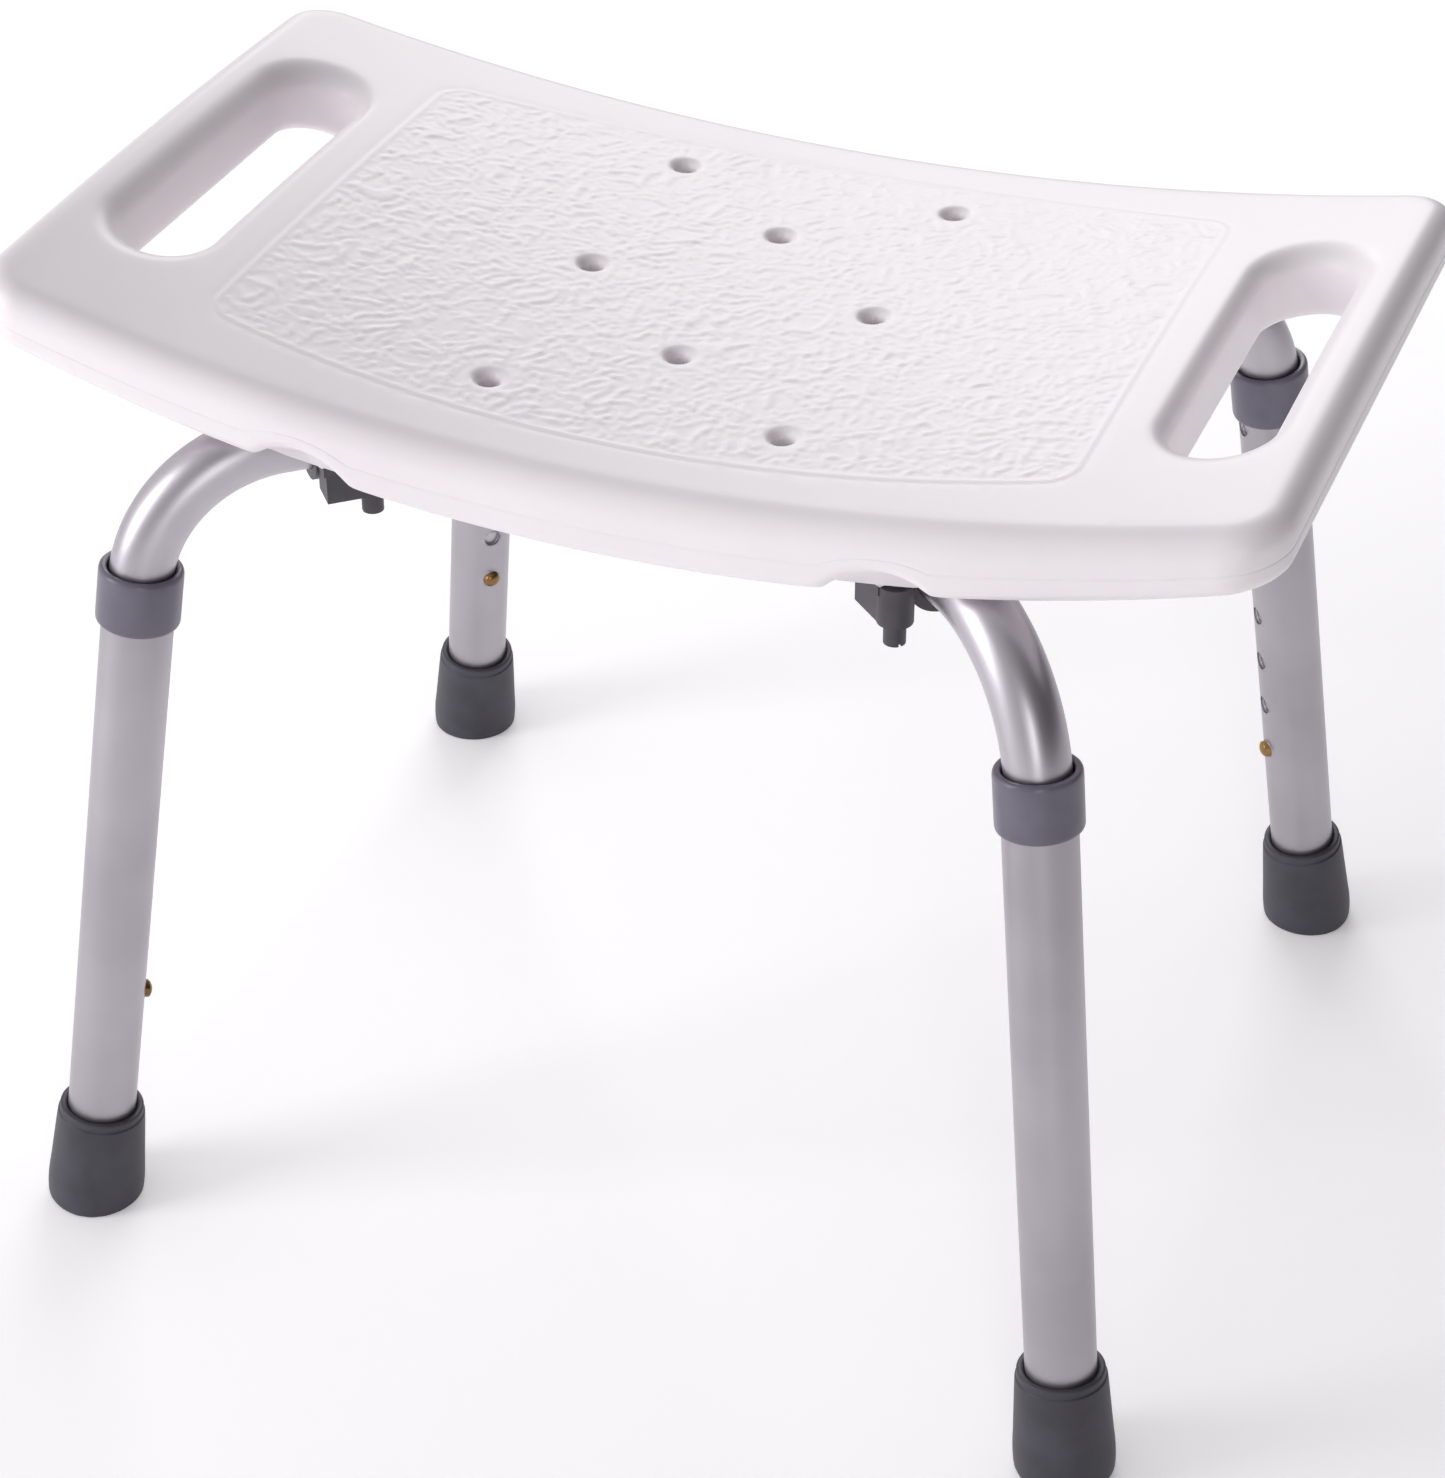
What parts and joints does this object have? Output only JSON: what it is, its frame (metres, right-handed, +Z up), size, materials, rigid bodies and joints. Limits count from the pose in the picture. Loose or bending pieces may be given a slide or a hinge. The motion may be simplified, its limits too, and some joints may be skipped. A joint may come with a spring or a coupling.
{
  "type": "shower stool",
  "caption": "Backless shower stool with a saddle-curved plastic seat, handle slots, drain holes, crossed bent tube frame and height-adjustable splayed legs on rubber feet.",
  "frame": {"origin": "on the floor, below the middle of the seat", "axes": "+X along the seat's length, +Y to the back, +Z up"},
  "size_m": [0.52, 0.427, 0.4132],
  "materials": {
    "seat_plastic": "blow-moulded, fine satin",
    "frame_tube": "anodised, satin to bright at the bends",
    "leg_tube": "anodised satin",
    "collar_plastic": "semi-gloss moulded",
    "clamp_plastic": "moulded",
    "foot_rubber": "moulded",
    "steel": "zinc plated",
    "spring_steel": "bright strip",
    "brass": "polished"
  },
  "bodies": {
    "base": {"seat": "seat_plastic", "frame_tube_front_right": "frame_tube", "frame_tube_front_left": "frame_tube", "cross_saddle": "clamp_plastic", "cross_bolt": "steel", "cross_nut": "steel", "tube_clamp_front_right": "clamp_plastic", "tube_clamp_front_left": "clamp_plastic", "tube_clamp_back_left": "clamp_plastic", "tube_clamp_back_right": "clamp_plastic", "button_spring_front_right": "spring_steel", "button_spring_front_left": "spring_steel", "button_spring_back_left": "spring_steel", "button_spring_back_right": "spring_steel"},
    "leg_front_right": {"leg_tube_front_right": "leg_tube", "collar_front_right": "collar_plastic", "foot_front_right": "foot_rubber", "foot_washer_front_right": "steel"},
    "button_front_right": {"snap_button_front_right": "brass"},
    "pin_front_right": {"clamp_pin_front_right": "clamp_plastic"},
    "leg_front_left": {"leg_tube_front_left": "leg_tube", "collar_front_left": "collar_plastic", "foot_front_left": "foot_rubber", "foot_washer_front_left": "steel"},
    "button_front_left": {"snap_button_front_left": "brass"},
    "pin_front_left": {"clamp_pin_front_left": "clamp_plastic"},
    "leg_back_left": {"leg_tube_back_left": "leg_tube", "collar_back_left": "collar_plastic", "foot_back_left": "foot_rubber", "foot_washer_back_left": "steel"},
    "button_back_left": {"snap_button_back_left": "brass"},
    "pin_back_left": {"clamp_pin_back_left": "clamp_plastic"},
    "leg_back_right": {"leg_tube_back_right": "leg_tube", "collar_back_right": "collar_plastic", "foot_back_right": "foot_rubber", "foot_washer_back_right": "steel"},
    "button_back_right": {"snap_button_back_right": "brass"},
    "pin_back_right": {"clamp_pin_back_right": "clamp_plastic"}
  },
  "joints": [
    {"name": "leg_front_right_height", "type": "slide", "parent": "base", "child": "leg_front_right", "axis": [0.1191, -0.1046, -0.9874], "range_m": [0, 0.1524]},
    {"name": "button_front_right_press", "type": "slide", "parent": "base", "child": "button_front_right", "axis": [0.7418, -0.6517, 0.1585], "range_m": [0, 0.0049], "stiffness_N_per_m": 1500, "springref_m": -0.003, "deforming": ["button_spring_front_right"]},
    {"name": "pin_front_right_turn", "type": "hinge", "parent": "base", "child": "pin_front_right", "pos_m": [0.11728, -0.13165, 0.3525], "axis": [0, 0, 1], "range_deg": [0, 90]},
    {"name": "leg_front_left_height", "type": "slide", "parent": "base", "child": "leg_front_left", "axis": [-0.1191, -0.1046, -0.9874], "range_m": [0, 0.1524]},
    {"name": "button_front_left_press", "type": "slide", "parent": "base", "child": "button_front_left", "axis": [-0.7418, -0.6517, 0.1585], "range_m": [0, 0.0049], "stiffness_N_per_m": 1500, "springref_m": -0.003, "deforming": ["button_spring_front_left"]},
    {"name": "pin_front_left_turn", "type": "hinge", "parent": "base", "child": "pin_front_left", "pos_m": [-0.10226, -0.11845, 0.3525], "axis": [0, 0, 1], "range_deg": [0, 90]},
    {"name": "leg_back_left_height", "type": "slide", "parent": "base", "child": "leg_back_left", "axis": [-0.1191, 0.1046, -0.9874], "range_m": [0, 0.1524]},
    {"name": "button_back_left_press", "type": "slide", "parent": "base", "child": "button_back_left", "axis": [-0.7418, 0.6517, 0.1585], "range_m": [0, 0.0049], "stiffness_N_per_m": 1500, "springref_m": -0.003, "deforming": ["button_spring_back_left"]},
    {"name": "pin_back_left_turn", "type": "hinge", "parent": "base", "child": "pin_back_left", "pos_m": [-0.11728, 0.13165, 0.3525], "axis": [0, 0, 1], "range_deg": [0, 90]},
    {"name": "leg_back_right_height", "type": "slide", "parent": "base", "child": "leg_back_right", "axis": [0.1191, 0.1046, -0.9874], "range_m": [0, 0.1524]},
    {"name": "button_back_right_press", "type": "slide", "parent": "base", "child": "button_back_right", "axis": [0.7418, 0.6517, 0.1585], "range_m": [0, 0.0049], "stiffness_N_per_m": 1500, "springref_m": -0.003, "deforming": ["button_spring_back_right"]},
    {"name": "pin_back_right_turn", "type": "hinge", "parent": "base", "child": "pin_back_right", "pos_m": [0.10226, 0.11845, 0.3525], "axis": [0, 0, 1], "range_deg": [0, 90]}
  ]
}
